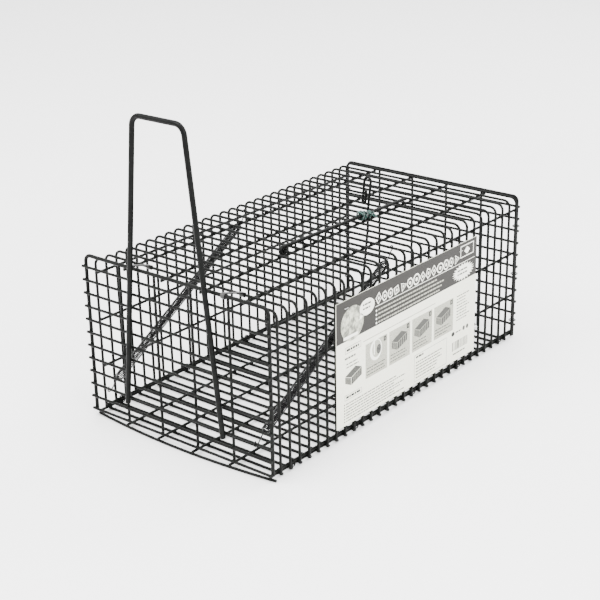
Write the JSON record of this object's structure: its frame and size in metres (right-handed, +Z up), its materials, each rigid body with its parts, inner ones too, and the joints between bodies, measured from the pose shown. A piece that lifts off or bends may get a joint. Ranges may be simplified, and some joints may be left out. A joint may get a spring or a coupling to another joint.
{
  "type": "live catch trap",
  "caption": "Long welded-wire cage with a sprung hinged drop door, a lever handle on the door, a roof setting rod and a hanging bait hook.",
  "frame": {"origin": "middle of the whole trap's box, on the ground", "axes": "+X to the trap's right, +Y from the door to the rear panel, +Z up"},
  "size_m": [0.207, 0.3726, 0.2823],
  "materials": {
    "black_coated_wire": "semi-gloss black dip coat",
    "black_coated_bar": "semi-gloss black dip coat",
    "hog_ring_steel": "coated with the cage",
    "bare_strap_steel": "dull grey strap",
    "spring_steel": "blackened spring wire, bright where it is rubbed",
    "green_tie_vinyl": "soft vinyl over wire",
    "printed_card": "printed card",
    "staple_steel": "plain wire"
  },
  "bodies": {
    "cage": {"cage_hoops": "black_coated_wire", "left_side_runners": "black_coated_wire", "right_side_runners": "black_coated_wire", "roof_runners": "black_coated_wire", "floor_cross_wires": "black_coated_wire", "floor_runners": "black_coated_wire", "rear_border": "black_coated_wire", "rear_cross_wires": "black_coated_wire", "rear_uprights": "black_coated_wire", "floor_hog_rings": "hog_ring_steel", "rear_hog_rings": "hog_ring_steel", "hinge_clip_left": "bare_strap_steel", "hinge_clip_right": "bare_strap_steel", "label_card": "printed_card", "card_staples": "staple_steel"},
    "door": {"door_frame": "black_coated_wire", "door_cross_wires": "black_coated_wire", "door_uprights": "black_coated_wire", "handle_lever": "black_coated_bar"},
    "setting_rod": {"setting_rod": "black_coated_bar", "twist_tie": "green_tie_vinyl"},
    "bait_hook": {"bait_hook": "black_coated_bar"},
    "left_spring": {"left_spring_coil": "spring_steel", "left_spring_upper_hook": "spring_steel"},
    "left_spring_end": {"left_spring_lower_hook": "spring_steel"},
    "right_spring": {"right_spring_coil": "spring_steel", "right_spring_upper_hook": "spring_steel"},
    "right_spring_end": {"right_spring_lower_hook": "spring_steel"}
  },
  "joints": [
    {"name": "door_hinge", "type": "hinge", "parent": "cage", "child": "door", "pos_m": [0, -0.1777, 0.148], "axis": [-1, 0, 0], "range_deg": [0, 65], "stiffness_Nm_per_rad": 0.3, "springref_deg": -57.3},
    {"name": "rod_hinge", "type": "hinge", "parent": "cage", "child": "setting_rod", "pos_m": [0.016, -0.0597, 0.142], "axis": [1, 0, 0], "range_deg": [0, 110]},
    {"name": "bait_pivot", "type": "hinge", "parent": "cage", "child": "bait_hook", "pos_m": [0.0184, 0.0603, 0.142], "axis": [1, 0, 0], "range_deg": [-12, 12]},
    {"name": "left_spring_swing", "type": "hinge", "parent": "cage", "child": "left_spring", "pos_m": [-0.08, 0.0003, 0.142], "axis": [-1, 0, 0], "range_deg": [0, 23.4]},
    {"name": "left_spring_stretch", "type": "slide", "parent": "left_spring", "child": "left_spring_end", "axis": [0, -0.8638, -0.5039], "range_m": [0, 0.0767], "deforming": ["left_spring_coil", "left_spring_lower_hook"]},
    {"name": "right_spring_swing", "type": "hinge", "parent": "cage", "child": "right_spring", "pos_m": [0.086, 0.0003, 0.142], "axis": [-1, 0, 0], "range_deg": [0, 23.4]},
    {"name": "right_spring_stretch", "type": "slide", "parent": "right_spring", "child": "right_spring_end", "axis": [0, -0.8638, -0.5039], "range_m": [0, 0.0767], "deforming": ["right_spring_coil", "right_spring_lower_hook"]}
  ],
  "couplings": [
    {"joint": "left_spring_swing", "follows": "door_hinge", "ratio": 0.3554},
    {"joint": "left_spring_stretch", "follows": "door_hinge", "m_per_rad": 0.067185},
    {"joint": "right_spring_swing", "follows": "door_hinge", "ratio": 0.3554},
    {"joint": "right_spring_stretch", "follows": "door_hinge", "m_per_rad": 0.067185}
  ]
}
